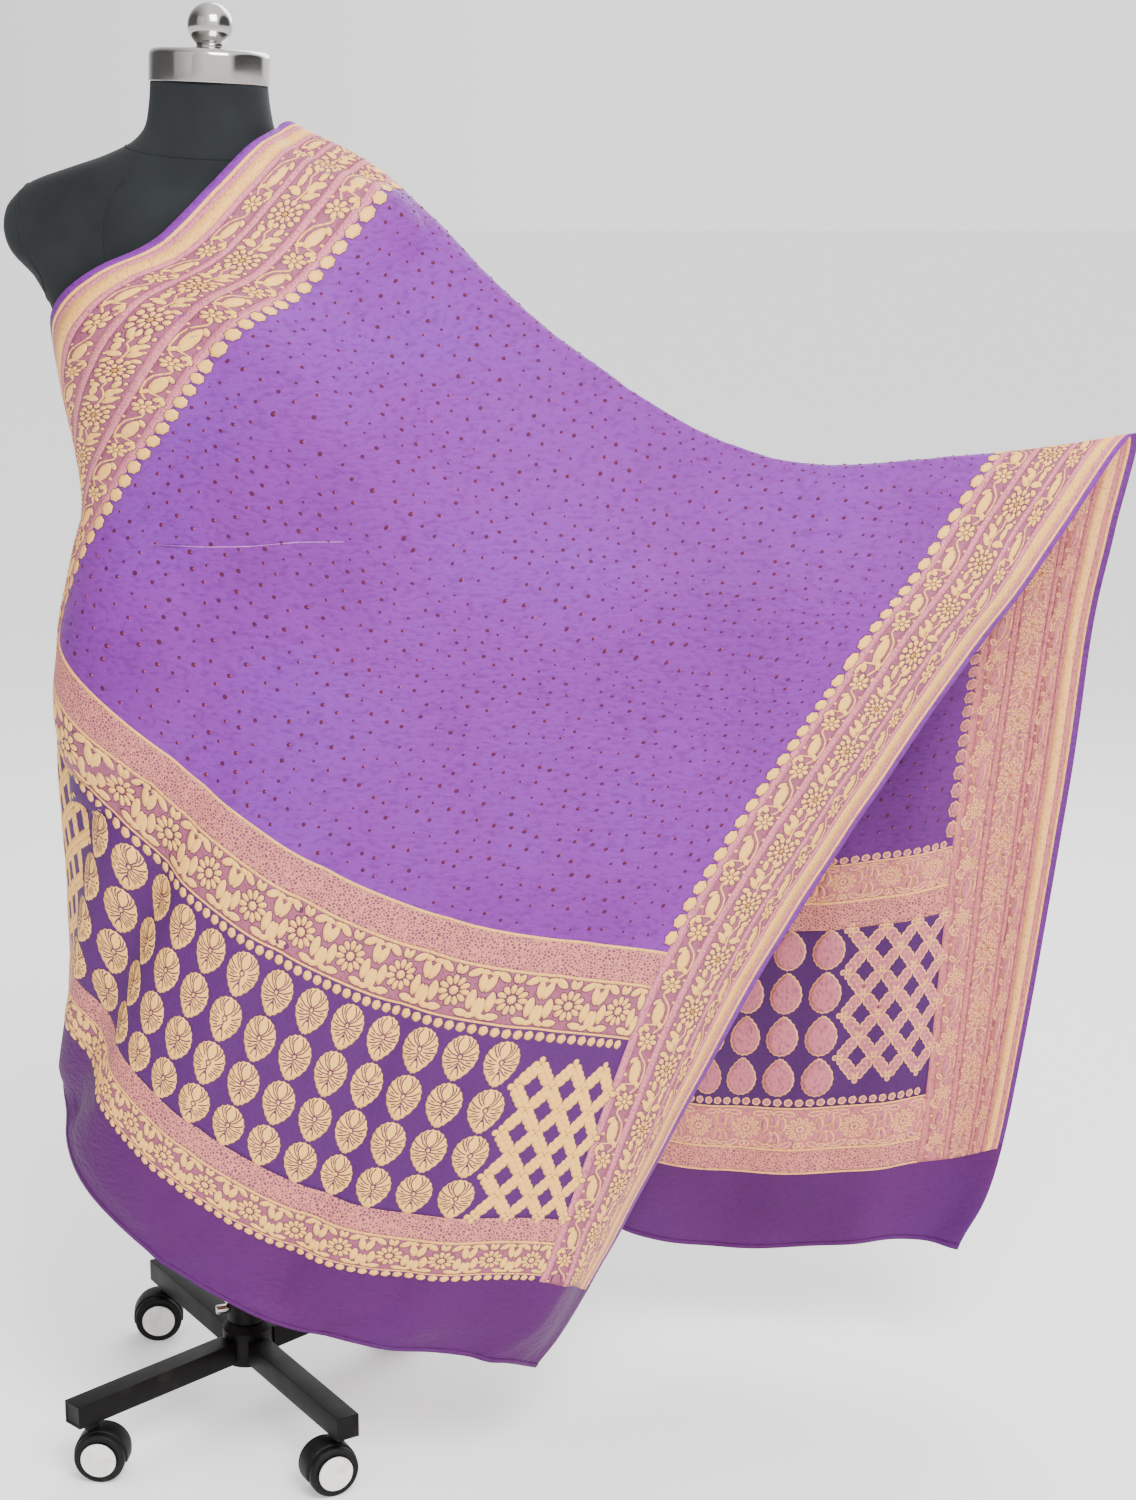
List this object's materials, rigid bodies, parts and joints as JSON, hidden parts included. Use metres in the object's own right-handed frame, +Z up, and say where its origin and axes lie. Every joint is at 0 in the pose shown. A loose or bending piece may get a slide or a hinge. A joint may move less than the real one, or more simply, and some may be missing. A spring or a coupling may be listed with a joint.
{
  "type": "bandhani cloth draped on a dress form stand",
  "caption": "Long tie-dyed and brocaded cloth folded over the shoulder of a dress form, one half wrapped round its front and the other falling behind; the form stands on a wheeled base.",
  "frame": {"origin": "on the floor, under the middle of the whole object's box", "axes": "+Z up, -Y the side the picture looks at, +X to that viewer's right"},
  "size_m": [1.1356, 0.4124, 1.4885],
  "materials": {
    "bandhani_cloth": "thin silk-blend weave, violet ground with gold brocade and dark tied dots",
    "black_jersey": "matt black knitted cover",
    "bright_metal": "polished",
    "black_paint": "satin black",
    "castor_black": "moulded, lightly worn",
    "castor_white": "moulded"
  },
  "bodies": {
    "root": {"castor_back_left_disc_far": "castor_white", "castor_back_left_disc_near": "castor_white", "castor_back_left_web": "castor_black", "castor_back_left_wheel_far": "castor_black", "castor_back_left_wheel_near": "castor_black", "castor_back_right_disc_far": "castor_white", "castor_back_right_disc_near": "castor_white", "castor_back_right_web": "castor_black", "castor_back_right_wheel_far": "castor_black", "castor_back_right_wheel_near": "castor_black", "castor_front_left_disc_far": "castor_white", "castor_front_left_disc_near": "castor_white", "castor_front_left_web": "castor_black", "castor_front_left_wheel_far": "castor_black", "castor_front_left_wheel_near": "castor_black", "castor_front_right_disc_far": "castor_white", "castor_front_right_disc_near": "castor_white", "castor_front_right_web": "castor_black", "castor_front_right_wheel_far": "castor_black", "castor_front_right_wheel_near": "castor_black", "cloth": "bandhani_cloth", "form_body": "black_jersey", "hub": "black_paint", "leg_back_left": "black_paint", "leg_back_right": "black_paint", "leg_front_left": "black_paint", "leg_front_right": "black_paint", "neck_cap": "bright_metal", "neck_knob": "bright_metal", "pole": "bright_metal"}
  },
  "joints": []
}
